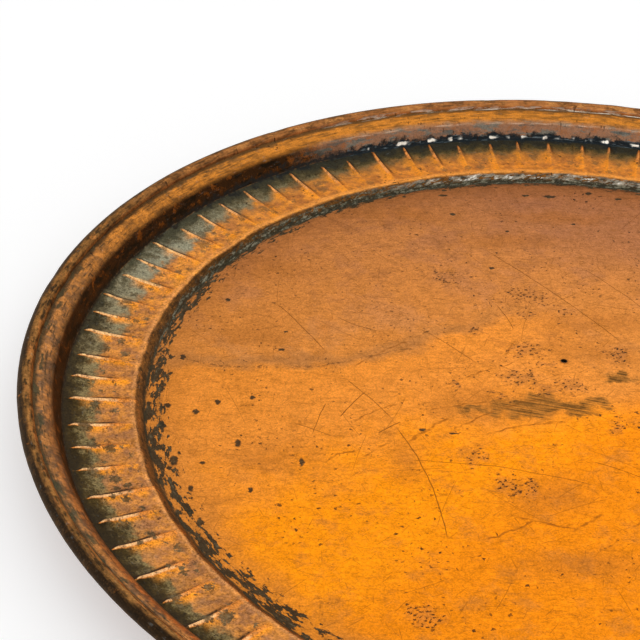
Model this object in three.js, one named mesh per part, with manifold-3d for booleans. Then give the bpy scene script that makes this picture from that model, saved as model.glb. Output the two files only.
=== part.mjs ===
// A large round copper tray of the Ottoman and Levantine kind, raised by hand from one sheet.
//
// The sheet runs from the flat floor up a small step to a dished, fluted border, then up a steep
// wall and over a sloping moulding to the edge, which is rolled round an iron wire that stiffens
// it. The sheet has one thickness everywhere, so each crease on top shows underneath as well.
//
// Millimetres, +Z up. The origin is the middle of the floor's underside, which the tray rests on.

import * as THREE from 'three';
import Module from 'manifold-3d';
import { mergeVertices } from 'three/addons/utils/BufferGeometryUtils.js';

const wasm = await Module();
wasm.setup();

// Driving dimensions
const TRAY_RADIUS = 350; // to the outside of the rolled edge
const SHEET = 1.2; // thickness of the copper
const WIRE_RADIUS = 3;
const WIRE_CLEARANCE = 0.35; // between the wire and the sheet rolled round it
const WIRE_END_GAP = 2; // between the two butted ends of the wire
const ROLL_END_ANGLE = -138; // degrees, where the raw edge is tucked under the wire

const FLOOR_RADIUS = 276; // to the foot of the step round the floor
const STEP_WIDTH = 6;
const STEP_HEIGHT = 6.3;
const BORDER_WIDTH = 43; // the fluted border, from the crest of the step to the foot of the wall
const BORDER_RISE = 5.4;
const WALL_LEAN = 4.6; // how far the wall leans outwards as it rises
const WALL_HEIGHT = 12;
const MOULDING_RISE = 7; // from the brow of the wall to the groove beside the rolled edge

const FLUTES = 86;
const FIRST_CREASE = -0.64; // degrees from +X
const CREASE_HEIGHT = 2; // of the crease between two flutes, at its tallest
const CREASE_HALF_WIDTH = 2.6;
const FLUTE_DEPTH = 0.5; // of the hollow between two creases, at its deepest
const UNEVENNESS = 0.07; // how far hand work strays from even flutes, as a share of one flute

// The small hole through the floor, a little way from the middle
const PIN_HOLE = { radius: 1.6, x: -13, y: 42, sides: 16 };

// Measures that follow from the ones above
const HALF_SHEET = SHEET / 2;
const ROLL_RADIUS = WIRE_RADIUS + WIRE_CLEARANCE + HALF_SHEET; // to the middle of the sheet
const ROLL_CENTRE = TRAY_RADIUS - ROLL_RADIUS - HALF_SHEET;
const CREST_RADIUS = FLOOR_RADIUS + STEP_WIDTH;
const WALL_FOOT_RADIUS = CREST_RADIUS + BORDER_WIDTH;
const BROW_RADIUS = WALL_FOOT_RADIUS + WALL_LEAN;
const GROOVE_RADIUS = ROLL_CENTRE - ROLL_RADIUS;
const FLOOR_Z = HALF_SHEET;
const CREST_Z = FLOOR_Z + STEP_HEIGHT;
const WALL_FOOT_Z = CREST_Z + BORDER_RISE;
const BROW_Z = WALL_FOOT_Z + WALL_HEIGHT;
const GROOVE_Z = BROW_Z + MOULDING_RISE;
const ROLL_Z = GROOVE_Z + 1;
const PITCH = (2 * Math.PI) / FLUTES;

// The section of the sheet
//
// The middle line of the sheet is a run of corners in the (radius, height) plane, each rounded by
// an arc. A station on it has a point and a normal, and the two faces of the sheet are the
// stations moved half a thickness either way.

// The stations of the arc that rounds `corner`, on the way from `before` to `after`.
function rounded(before, corner, after, radius, divisions) {
  const into = corner.clone().sub(before).normalize();
  const out = after.clone().sub(corner).normalize();
  const turn = Math.atan2(into.cross(out), into.dot(out));
  const reach = radius * Math.tan(Math.abs(turn) / 2);
  const upwards = new THREE.Vector2(-into.y, into.x);
  const toCentre = Math.sign(turn) * radius;
  const start = corner.clone().addScaledVector(into, -reach);
  const centre = start.addScaledVector(upwards, toCentre);
  const stations = [];
  for (let i = 0; i <= divisions; i += 1) {
    const normal = upwards.clone().rotateAround(new THREE.Vector2(), (turn * i) / divisions);
    const point = centre.clone().addScaledVector(normal, -toCentre);
    stations.push({ point, normal });
  }
  return stations;
}

// The stations of the edge that is rolled round the wire, from the groove over and underneath.
function rolled(divisions) {
  const start = Math.PI;
  const end = THREE.MathUtils.degToRad(ROLL_END_ANGLE);
  const stations = [];
  for (let i = 1; i <= divisions; i += 1) {
    const angle = start + ((end - start) * i) / divisions;
    const normal = new THREE.Vector2(Math.cos(angle), Math.sin(angle));
    const point = new THREE.Vector2(ROLL_CENTRE, ROLL_Z).addScaledVector(normal, ROLL_RADIUS);
    stations.push({ point, normal });
  }
  return stations;
}

function sheetSection() {
  const point = (radius, height) => new THREE.Vector2(radius, height);
  const corners = [
    { at: point(0, FLOOR_Z) },
    { at: point(FLOOR_RADIUS, FLOOR_Z), radius: 4, divisions: 2 },
    { at: point(CREST_RADIUS, CREST_Z), radius: 2.6, divisions: 2 },
    // the dished border, level beside the step and rising ever more steeply to the wall
    { at: point(CREST_RADIUS + 0.52 * BORDER_WIDTH, CREST_Z), radius: 140, divisions: 4 },
    { at: point(WALL_FOOT_RADIUS, WALL_FOOT_Z), radius: 2.4, divisions: 1 },
    { at: point(BROW_RADIUS, BROW_Z), radius: 1.6, divisions: 1 },
    // the swell of the moulding
    { at: point(BROW_RADIUS + 5.4, BROW_Z + 4.8), radius: 14, divisions: 2 },
    { at: point(GROOVE_RADIUS, GROOVE_Z), radius: 1.2, divisions: 1 },
    { at: point(GROOVE_RADIUS, ROLL_Z) },
  ];
  const stations = [];
  for (let i = 1; i < corners.length - 1; i += 1) {
    const { at, radius, divisions } = corners[i];
    stations.push(...rounded(corners[i - 1].at, at, corners[i + 1].at, radius, divisions));
  }
  return [...stations, ...rolled(8)];
}

// The flutes
//
// Across the border each flute is a shallow hollow, and two flutes meet in a sharp crease. Along
// the border the crease is tallest near the foot of the wall, and it dies away before the crest.

// The angle of a crease. The flutes are set out by eye, so they are not quite even.
function creaseAngle(flute) {
  const turn = flute * PITCH;
  const stray = UNEVENNESS * PITCH * (Math.sin(29 * turn) + 0.6 * Math.sin(12 * turn));
  return THREE.MathUtils.degToRad(FIRST_CREASE) + turn + stray;
}

// How strongly the flutes are worked at this radius, from 0 to 1.
function fluteStrength(radius) {
  const inwards = (WALL_FOOT_RADIUS - radius) / BORDER_WIDTH; // 0 at the wall, 1 at the crest
  if (inwards < 0.03 || inwards > 0.86) return 0;
  return THREE.MathUtils.clamp((0.9 - inwards) / 0.7, 0, 1);
}

// The vertices across one flute at this radius. `across` runs from 0 at one crease to 1 at the
// next, and `lift` is how far the vertex stands above the plain border.
function fluteColumns(radius) {
  const strength = fluteStrength(radius);
  if (strength === 0) return [{ across: 0, lift: 0 }];
  const foot = CREASE_HALF_WIDTH / (PITCH * radius);
  return [
    { across: 0, lift: strength * CREASE_HEIGHT },
    { across: foot, lift: -strength * FLUTE_DEPTH },
    { across: 1 - foot, lift: -strength * FLUTE_DEPTH },
  ];
}

// Swept solids
//
// A swept solid is a run of rings of vertices round the axis, with a band of triangles between
// each ring and the next.

function ringThrough({ x: radius, y: height }, columns) {
  const ring = [];
  for (let flute = 0; flute < FLUTES; flute += 1) {
    const from = creaseAngle(flute);
    const to = creaseAngle(flute + 1);
    for (const { across, lift } of columns) {
      const angle = THREE.MathUtils.lerp(from, to, across);
      const at = [radius * Math.cos(angle), radius * Math.sin(angle), height + lift];
      ring.push({ angle, at });
    }
  }
  return ring;
}

// The band between two rings, which may differ in their numbers of vertices: it always takes the
// step round the axis that ends sooner.
function addBand(positions, inner, outer) {
  const vertex = (ring, i) => ring[i % ring.length].at;
  const angle = (ring, i) => (i < ring.length ? ring[i].angle : ring[0].angle + 2 * Math.PI);
  let i = 0;
  let j = 0;
  while (i < inner.length || j < outer.length) {
    const innerEndsSooner = i < inner.length && angle(inner, i + 1) <= angle(outer, j + 1);
    positions.push(...vertex(inner, i), ...vertex(outer, j));
    if (innerEndsSooner || j >= outer.length) {
      i += 1;
      positions.push(...vertex(inner, i));
    } else {
      j += 1;
      positions.push(...vertex(outer, j));
    }
  }
}

// The disc that closes a swept solid on the axis.
function addDisc(positions, ring, facesUp) {
  const height = ring[0].at[2];
  ring.forEach(({ at }, i) => {
    const next = ring[(i + 1) % ring.length].at;
    const edge = facesUp ? [...at, ...next] : [...next, ...at];
    positions.push(0, 0, height, ...edge);
  });
}

function sweptGeometry(rings, addEnds) {
  const positions = [];
  for (let i = 1; i < rings.length; i += 1) {
    addBand(positions, rings[i - 1], rings[i]);
  }
  addEnds(positions);
  const geometry = new THREE.BufferGeometry();
  geometry.setAttribute('position', new THREE.Float32BufferAttribute(positions, 3));
  return geometry;
}

// Cutting

function toSolid(geometry) {
  const bare = geometry.clone();
  bare.deleteAttribute('normal');
  bare.deleteAttribute('uv');
  const merged = mergeVertices(bare, 1e-4);
  return new wasm.Manifold(
    new wasm.Mesh({
      numProp: 3,
      vertProperties: merged.attributes.position.array,
      triVerts: new Uint32Array(merged.index.array),
    }),
  );
}

function cut(geometry, tool) {
  const { vertProperties, triVerts } = toSolid(geometry).subtract(toSolid(tool)).getMesh();
  const result = new THREE.BufferGeometry();
  result.setAttribute('position', new THREE.BufferAttribute(vertProperties, 3));
  result.setIndex(new THREE.BufferAttribute(triVerts, 1));
  result.computeVertexNormals();
  return result;
}

// The pieces

function traySheet() {
  const stations = sheetSection();
  const rings = [];
  const addFace = (run, side) => {
    for (const { point, normal } of run) {
      const columns = fluteColumns(point.x);
      rings.push(ringThrough(point.clone().addScaledVector(normal, side * HALF_SHEET), columns));
    }
  };
  addFace(stations, 1);
  addFace([...stations].reverse(), -1);
  const blank = sweptGeometry(rings, (positions) => {
    addDisc(positions, rings[0], true);
    addDisc(positions, rings.at(-1), false);
  });

  const { radius, x, y, sides } = PIN_HOLE;
  const punch = new THREE.CylinderGeometry(radius, radius, 4 * SHEET, sides);
  punch.rotateX(Math.PI / 2);
  punch.translate(x, y, FLOOR_Z);

  const copper = new THREE.MeshStandardMaterial({
    color: 0xc8763a,
    roughness: 0.45,
    metalness: 0.9,
  });
  const sheet = new THREE.Mesh(cut(blank, punch), copper);
  sheet.name = 'tray_sheet';
  return sheet;
}

// The wire inside the rolled edge is a hoop whose two ends butt together. It has its corners at
// the same angles as the sheet, so that the two keep their distance all the way round.
function rimWire() {
  const sides = 6;
  const rings = [];
  for (let side = 0; side <= sides; side += 1) {
    const angle = (-2 * Math.PI * side) / sides;
    const normal = new THREE.Vector2(Math.cos(angle), Math.sin(angle));
    const point = new THREE.Vector2(ROLL_CENTRE, ROLL_Z).addScaledVector(normal, WIRE_RADIUS);
    rings.push(ringThrough(point, [{ across: 0, lift: 0 }]));
  }
  const hoop = sweptGeometry(rings, () => {});

  const opening = new THREE.BoxGeometry(4 * WIRE_RADIUS, WIRE_END_GAP, 4 * WIRE_RADIUS);
  opening.translate(ROLL_CENTRE, 0.5 * PITCH * ROLL_CENTRE, ROLL_Z);

  const iron = new THREE.MeshStandardMaterial({
    color: 0x5c5450,
    roughness: 0.7,
    metalness: 0.8,
  });
  const wire = new THREE.Mesh(cut(hoop, opening), iron);
  wire.name = 'rim_wire';
  return wire;
}

const tray = new THREE.Group();
tray.add(traySheet(), rimWire());

export default tray;
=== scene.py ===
# %% [markdown]
# # A copper tray with a fluted border
#
# The real thing is one sheet of copper, raised by hand over stakes: a flat floor, a small step up to
# a dished border that is pinched into flutes, a steep wall, a sloping moulding, and an edge that is
# rolled round an iron wire. It was tinned once. The tin has worn off except in the recesses, and the
# bare copper has browned unevenly.
#
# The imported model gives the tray's true size and place. Around that frame this script makes one
# dense mesh for the sheet, so that creases and rolled edge are smooth, and then the finishes.

# %% Load the frame
from types import SimpleNamespace

import bpy
import numpy as np
from mathutils import Matrix, Vector


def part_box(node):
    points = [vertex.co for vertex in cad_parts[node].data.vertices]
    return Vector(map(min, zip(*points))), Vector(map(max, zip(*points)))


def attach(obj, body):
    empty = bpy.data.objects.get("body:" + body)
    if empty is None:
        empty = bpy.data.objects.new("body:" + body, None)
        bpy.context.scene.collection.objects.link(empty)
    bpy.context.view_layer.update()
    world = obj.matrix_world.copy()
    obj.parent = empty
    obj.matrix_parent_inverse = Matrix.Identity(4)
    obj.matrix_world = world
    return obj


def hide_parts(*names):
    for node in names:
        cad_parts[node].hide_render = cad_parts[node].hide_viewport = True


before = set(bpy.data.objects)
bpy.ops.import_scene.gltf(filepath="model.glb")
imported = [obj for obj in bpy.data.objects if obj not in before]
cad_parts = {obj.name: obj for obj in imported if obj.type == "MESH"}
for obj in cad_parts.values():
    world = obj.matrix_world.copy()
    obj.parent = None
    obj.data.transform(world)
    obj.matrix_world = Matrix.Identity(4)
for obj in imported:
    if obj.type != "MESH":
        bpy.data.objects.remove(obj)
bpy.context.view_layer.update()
print("nodes in the frame:", sorted(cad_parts))

# %% [markdown]
# ## The tray's measures
#
# The work is in millimetres, and a point becomes metres only when it goes into a mesh. The tray's
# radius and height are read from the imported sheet. The rest are the measures that the sheet was
# drawn with. A smith would mark the same few circles on the blank with a compass.

# %% Measures
MM = 0.001
LOW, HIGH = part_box("tray_sheet")
SPARE = 0.25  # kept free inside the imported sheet's box, for the unevenness of hand work
TRAY_RADIUS = min(HIGH.x, HIGH.y, -LOW.x, -LOW.y) / MM - SPARE
TRAY_HEIGHT = HIGH.z / MM - 0.02
HALF = 1.2 / 2  # half the thickness of the sheet

FLOOR_RADIUS = 276.0
CREST = (282.0, 6.9)  # radius and height of the middle of the sheet
BORDER_WIDTH = 43.0
WALL_FOOT = (CREST[0] + BORDER_WIDTH, 12.3)
BROW = (WALL_FOOT[0] + 4.6, 24.3)
GROOVE_Z = BROW[1] + 7.0
ROLL_Z = GROOVE_Z + 1.0
ROLL_RADIUS = TRAY_HEIGHT - ROLL_Z - HALF  # to the middle of the sheet
ROLL_CENTRE = TRAY_RADIUS - ROLL_RADIUS - HALF
GROOVE_RADIUS = ROLL_CENTRE - ROLL_RADIUS
ROLL_END_ANGLE = np.radians(-138)

FLUTES = 86
PITCH = 2 * np.pi / FLUTES
FIRST_CREASE = np.radians(-0.64)
UNEVENNESS = 0.07
PIN_HOLE = {"radius": 1.6, "x": -13.0, "y": 42.0}

print(f"{FLUTES} flutes, {PITCH * WALL_FOOT[0]:.1f} mm apart at the wall")
print(f"tray {2 * TRAY_RADIUS:.1f} mm across and {TRAY_HEIGHT:.1f} mm high")

# %% [markdown]
# ## The section of the sheet
#
# A revolved form is its section. It could be traced from many points, but a smith thinks in corners
# and how tightly each is bent over the stake, and so does this list: straight stretches with each
# corner rounded by an arc. Every point also keeps its normal, because the upper and the lower face
# of the sheet are the middle line moved half a thickness along the normals.


# %% Arcs and straights
def unit(vector):
    return vector / np.hypot(*vector)


def corner_arc(before, corner, after, radius, rows):
    """The arc that rounds a corner: its centre lies one radius off both straights, and its normal
    turns evenly from the first straight's to the second's."""
    into, out = unit(corner - before), unit(after - corner)
    turn = np.arctan2(into[0] * out[1] - into[1] * out[0], into @ out)
    upwards = np.array([-into[1], into[0]])
    start = corner - into * radius * np.tan(abs(turn) / 2)
    centre = start + upwards * np.sign(turn) * radius
    angle = np.linspace(0, turn, rows)
    across = upwards[0] * np.cos(angle) - upwards[1] * np.sin(angle)
    up = upwards[0] * np.sin(angle) + upwards[1] * np.cos(angle)
    normals = np.stack([across, up], axis=1)
    return centre - normals * np.sign(turn) * radius, normals


def straight(start, end, rows):
    """Evenly spaced points between two others, both left out, with the normal of the line."""
    share = np.linspace(0, 1, rows + 2)[1:-1, None]
    direction = unit(end - start)
    normal = np.array([-direction[1], direction[0]])
    return start + share * (end - start), np.repeat(normal[None], rows, axis=0)


# %% The whole section
# The floor's rows lie close together only round the pin hole. Each corner has its place, the radius
# that it is bent to, the rows of vertices round the bend, and the rows that lead to it.
FLOOR_ROWS = np.concatenate(
    [np.arange(12, 34, 7.0), np.arange(36, 53, 1.8), np.arange(59, FLOOR_RADIUS - 6, 12.0)]
)
CORNERS = {
    "floor_edge": ((FLOOR_RADIUS, HALF), 4.0, 6, 1),
    "crest": (CREST, 2.8, 7, 2),
    "border": ((CREST[0] + 0.52 * BORDER_WIDTH, CREST[1]), 140.0, 25, 2),
    "wall_foot": (WALL_FOOT, 2.2, 6, 2),
    "brow": (BROW, 2.4, 7, 6),
    "moulding": ((BROW[0] + 5.4, BROW[1] + 4.8), 14.0, 5, 2),
    "groove": ((GROOVE_RADIUS, GROOVE_Z), 1.3, 6, 3),
}
ROLL_ROWS = 19


def sheet_section():
    """Radius, height and normal along the sheet's middle line, how far along it each row lies in
    millimetres from the edge of the floor, and the same for each named corner."""
    floor = np.stack([FLOOR_ROWS, np.full(len(FLOOR_ROWS), HALF)], axis=1)
    points, normals = [floor], [np.repeat([[0.0, 1.0]], len(floor), axis=0)]
    places = [np.array([0.0, HALF])]
    places += [np.array(place) for place, *_ in CORNERS.values()]
    places += [np.array([GROOVE_RADIUS, ROLL_Z])]
    marks = {}
    for index, (name, (_, bend, arc_rows, straight_rows)) in enumerate(CORNERS.items(), start=1):
        arc, arc_normals = corner_arc(*places[index - 1 : index + 2], bend, arc_rows)
        line, line_normals = straight(points[-1][-1], arc[0], straight_rows)
        points += [line, arc]
        normals += [line_normals, arc_normals]
        marks[name] = sum(map(len, points)) - (arc_rows + 1) / 2
    angle = np.linspace(np.pi, ROLL_END_ANGLE, ROLL_ROWS + 1)[1:]
    outwards = np.stack([np.cos(angle), np.sin(angle)], axis=1)
    points.append(np.array([ROLL_CENTRE, ROLL_Z]) + ROLL_RADIUS * outwards)
    normals.append(outwards)
    points, normals = np.concatenate(points), np.concatenate(normals)
    along = np.concatenate([[0], np.cumsum(np.hypot(*np.diff(points, axis=0).T))])
    rows = np.arange(len(along))
    marks = {name: float(np.interp(mark, rows, along)) for name, mark in marks.items()}
    start = marks["floor_edge"]
    return points, normals, along - start, {name: mark - start for name, mark in marks.items()}


POINTS, NORMALS, ALONG, MARKS = sheet_section()
CREST_MARK, FOOT_MARK = MARKS["crest"], MARKS["wall_foot"]
BROW_MARK, GROOVE_MARK = MARKS["brow"], MARKS["groove"]
print(len(POINTS), "rows;", {name: round(mark, 1) for name, mark in MARKS.items()})

# %% [markdown]
# ## The flutes
#
# Each crease was pinched up from the sheet with a punch and a hammer, so it is sharp and tall near
# the wall, where the punch stood, and dies away towards the step. The smith worked round one way, so
# the creases lean: one flank is gentle and the other is steep. At the back of the tray they are short
# and blunt, and no two are alike.
#
# They could be separate ridges laid on a smooth border, but in metal they are the border: here they
# are a height added to both faces of the sheet, worked out from the distance to the nearest crease.

# %% One flute after another
CREASE_HEIGHT = 2.7
GENTLE_FLANK, STEEP_FLANK = 2.5, 0.95
FLUTE_DEPTH = 0.9
NUB_HEIGHT = 0.7
chance = np.random.default_rng(7)
CREASE_SIZE = chance.uniform(0.6, 1.15, FLUTES)  # how tall each crease came out
CREASE_REACH = chance.uniform(0.7, 1.1, FLUTES)  # how far in over the border each one runs
NUB_SIZE = chance.uniform(0, 1, FLUTES) ** 2  # the bruise in the wall where the punch stood
DISH = chance.uniform(0.5, 1.3, FLUTES)  # how deep each flute is
CREASE_START = chance.uniform(-0.01, 0.09, FLUTES)  # how far from the wall each one begins
CREASE_LEAN = chance.uniform(-0.1, 0.0, FLUTES)  # how far each one runs aside, in flutes
OWN_SHADE = chance.uniform(0, 1, FLUTES)  # a number that the finish of each flute goes by
TURN = np.arange(FLUTES) * PITCH
CREASE_LEAN -= 0.09 * np.cos(TURN - 3.0)  # the left side's creases lean the most
BLUNT = np.exp(-(((TURN - 1.35) / 0.6) ** 2))  # those at the back are short and rounded
CREASE_REACH -= 0.52 * BLUNT


def crease_angle(flute, inwards=0.0):
    """Where a crease lies round the tray: evenly spaced, but for two slow waves in the spacing and
    its own lean, which grows inwards over the border."""
    turn = flute * PITCH
    stray = UNEVENNESS * PITCH * (np.sin(29 * turn) + 0.6 * np.sin(12 * turn))
    lean = CREASE_LEAN[flute % FLUTES] * PITCH * smooth(inwards, 0.0, 0.8)
    return FIRST_CREASE + turn + stray + lean


def smooth(value, low, high):
    """0 below low, 1 above high and an S-shaped rise between."""
    share = np.clip((value - low) / (high - low), 0, 1)
    return share * share * (3 - 2 * share)


def flute_lift(radius, signed, across, flute, nearest):
    """Height of the flutes over the plain border: a crease that falls off exponentially with the
    distance from it, pointed at the wall and wider on one side, less a hollow shaped as a sine
    across the flute. The rise of the nearest crease is put out too, and its share left here."""
    inwards = (WALL_FOOT[0] - radius) / BORDER_WIDTH
    start = CREASE_START[nearest]
    fall = np.clip(1 - inwards / CREASE_REACH[nearest], 0, 1) ** 0.75
    rise = CREASE_SIZE[nearest] * smooth(inwards, start, start + 0.13) * fall
    blunt = BLUNT[nearest]
    width = 0.22 + (0.78 - 0.4 * blunt) * smooth(inwards, start, start + 0.3)
    width = width + 0.5 * np.clip(inwards, 0, 1) + 0.2 * blunt
    flank = np.where(signed > 0, GENTLE_FLANK, STEEP_FLANK * (1 + 0.9 * blunt)) * width
    left = np.exp(-((np.abs(signed) / flank) ** (1.2 + 0.8 * blunt)))
    hollow = DISH[flute % FLUTES] * smooth(inwards, -0.02, 0.12) * (1 - smooth(inwards, 0.25, 1.0))
    nub = NUB_SIZE[nearest] * np.exp(-(((radius - WALL_FOOT[0] - 0.6) / 1.1) ** 2) - (signed / 1.5) ** 2)
    lift = CREASE_HEIGHT * rise * left - FLUTE_DEPTH * hollow * np.sin(np.pi * across) + NUB_HEIGHT * nub
    return lift, rise, left

# %% [markdown]
# ## Unevenness of hand work
#
# A raised tray is never quite true: the floor is slightly quilted by the planishing hammer, the
# rim wavers, and the rolled edge has taken knocks. Noise on every vertex would look like crumpled
# foil, so the waver is a sum of a few long sine waves, and the knocks are a few soft dents.

# %% Waver and dents
WAVES = 9
wave_length = chance.uniform(45, 170, WAVES)
wave_turn = chance.uniform(0, 2 * np.pi, WAVES)
wave_start = chance.uniform(0, 2 * np.pi, WAVES)
DENTS = 26
dent_angle = chance.uniform(-np.pi, np.pi, DENTS)
dent_width = chance.uniform(2.5, 9, DENTS) / TRAY_RADIUS
dent_depth = chance.uniform(0.1, 0.55, DENTS)
QUILT = 0.3  # how far the planished floor rises, in millimetres
SWELL = 0.22  # how far border, wall and edge rise and sink
STEP_STRAY = 0.9  # how far the step wanders in and out
RIM_STRAY = 0.12  # how far the edge does, inwards only
SAG = 0.25  # how much lower the edge lies than the section has it


def waver(x, y):
    """Sum of plane waves of random length and direction, between -1 and 1."""
    total = np.zeros_like(x)
    for length, turn, start in zip(wave_length, wave_turn, wave_start):
        phase = 2 * np.pi * (x * np.cos(turn) + y * np.sin(turn)) / length + start
        total += np.sin(phase) / WAVES
    return total


def dents(angle):
    """Depth of the knocks round the rolled edge: a bell curve of the angle for each."""
    gap = (angle[..., None] - dent_angle + np.pi) % (2 * np.pi) - np.pi
    return (dent_depth * np.exp(-((gap / dent_width) ** 2))).sum(axis=-1)

# %% [markdown]
# ## The mesh of the sheet
#
# Rows run round the tray and columns run out over it. The border needs twelve columns a flute,
# crowded at the crease, the wall and edge need four, and the flat floor two. Where the count changes,
# several cells of the fine row meet one of the coarse row. The upper face, the rolled edge, the
# underside and the raw edge are one closed skin, as on the real sheet.

# %% Rows of vertices
BORDER_SHARES = np.array([0, 0.022, 0.05, 0.09, 0.16, 0.3, 0.5, 0.7, 0.84, 0.91, 0.95, 0.978])
EDGE_SHARES = BORDER_SHARES[::3]
FLOOR_SHARES = BORDER_SHARES[::6]


def shares_of_row(index):
    """Where the columns of a row stand, as shares of a flute."""
    if CREST_MARK - 3 < ALONG[index] < FOOT_MARK + 2.5:
        return BORDER_SHARES
    return FLOOR_SHARES if ALONG[index] < -5 else EDGE_SHARES


def row_of_vertices(index, side):
    """One row on the upper (side 1) or lower (side -1) face: the section's point moved half a
    thickness along its normal, turned round the axis, then lifted by flutes and hand work."""
    shares = shares_of_row(index)
    flute = np.repeat(np.arange(FLUTES), len(shares))
    across = np.tile(shares, FLUTES)
    middle = POINTS[index, 0]
    inwards = (WALL_FOOT[0] - middle) / BORDER_WIDTH
    angle = crease_angle(flute, inwards)
    angle = angle + across * (crease_angle(flute + 1, inwards) - angle)
    nearest = np.where(across > 0.5, (flute + 1) % FLUTES, flute)
    signed = np.where(across > 0.5, across - 1, across) * PITCH * middle
    x, y = middle * np.cos(angle), middle * np.sin(angle)

    radius, height = POINTS[index] + side * HALF * NORMALS[index]
    on_floor = 1 - smooth(ALONG[index], -6, 2)
    on_step = smooth(ALONG[index], -3, 4) * (1 - smooth(ALONG[index], 10, 24))
    on_edge = smooth(ALONG[index], BROW_MARK, GROOVE_MARK)
    planish = 0 if on_floor == 1 and side == -1 else QUILT * on_floor * (1 + waver(x, y))
    lift, rise, left = flute_lift(middle, signed, across, flute, nearest)
    lift = lift + planish + SWELL * (1 - on_floor) * (1 - 0.5 * on_edge) * waver(x, y)
    knocks = dents(angle)
    drop = on_edge * (0.5 * knocks + SAG)
    stray = STEP_STRAY * on_step * waver(2.3 * x, 2.3 * y)
    squeeze = on_edge * (RIM_STRAY * (1 + waver(1.7 * x, 1.7 * y)) + 0.6 * knocks)
    radius = radius + stray - squeeze
    level = np.maximum(height + lift - drop, 0)  # no lower than what the tray stands on
    place = np.stack([radius * np.cos(angle), radius * np.sin(angle), level], axis=1)
    flags = {
        "along": np.full(len(angle), ALONG[index]),
        "from_crease": np.abs(signed),
        "flute_side": np.sin(2 * np.pi * across),
        "crease_rise": rise,
        "crease_left": left,
        "own_shade": OWN_SHADE[flute],
        "under": np.full(len(angle), float(side < 0)),
    }
    return place, flags


# %% Skin over the rows
def ring_faces(first, second, first_count, second_count):
    """Faces between two rows, given the number of their first vertex and their lengths: one
    four-sided face a cell where the rows are equal, and otherwise a fan of triangles a cell, the
    first half of it from the cell's near corner and the rest from its far one."""
    if first_count == second_count:
        here = np.arange(first_count)
        after = (here + 1) % first_count
        return np.stack([first + here, second + here, second + after, first + after], 1), None
    flipped = first_count > second_count
    fine, coarse = (first, second) if flipped else (second, first)
    count, fine_count = min(first_count, second_count), max(first_count, second_count)
    ratio = fine_count // count
    here = np.arange(count)
    near, far = coarse + here, coarse + (here + 1) % count
    steps = [fine + (ratio * here + step) % fine_count for step in range(ratio + 1)]
    middle = ratio // 2
    fans = [(near, steps[step], steps[step + 1]) for step in range(middle)]
    fans += [(near, steps[middle], far)]
    fans += [(steps[step], steps[step + 1], far) for step in range(middle, ratio)]
    fans = np.concatenate([np.stack(corners, 1) for corners in fans])
    return None, fans[:, ::-1] if flipped else fans


def closed_skin(rows):
    """All rows joined in turn, with a fan of triangles round each end on the axis."""
    counts = [len(place) for place, _ in rows]
    starts = np.concatenate([[0], np.cumsum(counts)])
    quads, triangles = [], []
    for index in range(len(rows) - 1):
        four, three = ring_faces(starts[index], starts[index + 1], counts[index], counts[index + 1])
        if four is not None:
            quads.append(four)
        if three is not None:
            triangles.append(three)
    tips = [[0, 0, place[:, 2].mean()] for place in (rows[0][0], rows[-1][0])]
    places = np.concatenate([place for place, _ in rows] + [tips])
    top, bottom, last = len(places) - 2, len(places) - 1, starts[-2]
    here = np.arange(counts[0])
    after = (here + 1) % counts[0]
    triangles.append(np.stack([np.full(counts[0], top), here, after], 1))
    triangles.append(np.stack([np.full(counts[-1], bottom), last + after, last + here], 1))
    flags = {}
    for name in rows[0][1]:
        ends = [rows[0][1][name][:1], rows[-1][1][name][:1]]
        flags[name] = np.concatenate([row_flags[name] for _, row_flags in rows] + ends)
    return places, np.concatenate(quads), np.concatenate(triangles), flags


def lower_row_numbers():
    """All rows under the floor, every third under the border and every second beyond it."""
    last = len(POINTS) - 1
    border = int((ALONG < 0).sum())
    edge = int((ALONG < FOOT_MARK).sum())
    kept = list(range(border)) + list(range(border, edge, 3)) + list(range(edge, last, 2)) + [last]
    return kept[::-1]


rows = [row_of_vertices(index, 1) for index in range(len(POINTS))]
rows += [row_of_vertices(index, -1) for index in lower_row_numbers()]
places, quads, triangles, flags = closed_skin(rows)
print("skin:", 2 * len(quads) + len(triangles), "triangles")

# %% [markdown]
# ## The pin hole
#
# A small hole goes through the floor near the middle, perhaps from the pin that held the blank. A
# boolean cut would leave long thin faces on such a grid. Here the cells round the hole are taken out
# of both faces instead, and each gap is closed with cells that run in to the hole's rim.

# %% Cut the hole
CLEARING = 4.2  # radius of the cells taken out


def clear_round_hole(quads, places):
    """Which cells of one face are taken out, and the loop of vertices round them, in the order of
    their angle about the hole."""
    centres = places[quads].mean(axis=1)
    taken = np.hypot(centres[:, 0] - PIN_HOLE["x"], centres[:, 1] - PIN_HOLE["y"]) < CLEARING
    edges = np.concatenate([quads[taken][:, [side, (side + 1) % 4]] for side in range(4)])
    edges, uses = np.unique(np.sort(edges, axis=1), axis=0, return_counts=True)
    loop = np.unique(edges[uses == 1])
    angle = np.arctan2(places[loop, 1] - PIN_HOLE["y"], places[loop, 0] - PIN_HOLE["x"])
    return taken, loop[np.argsort(angle)], np.sort(angle)


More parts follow.
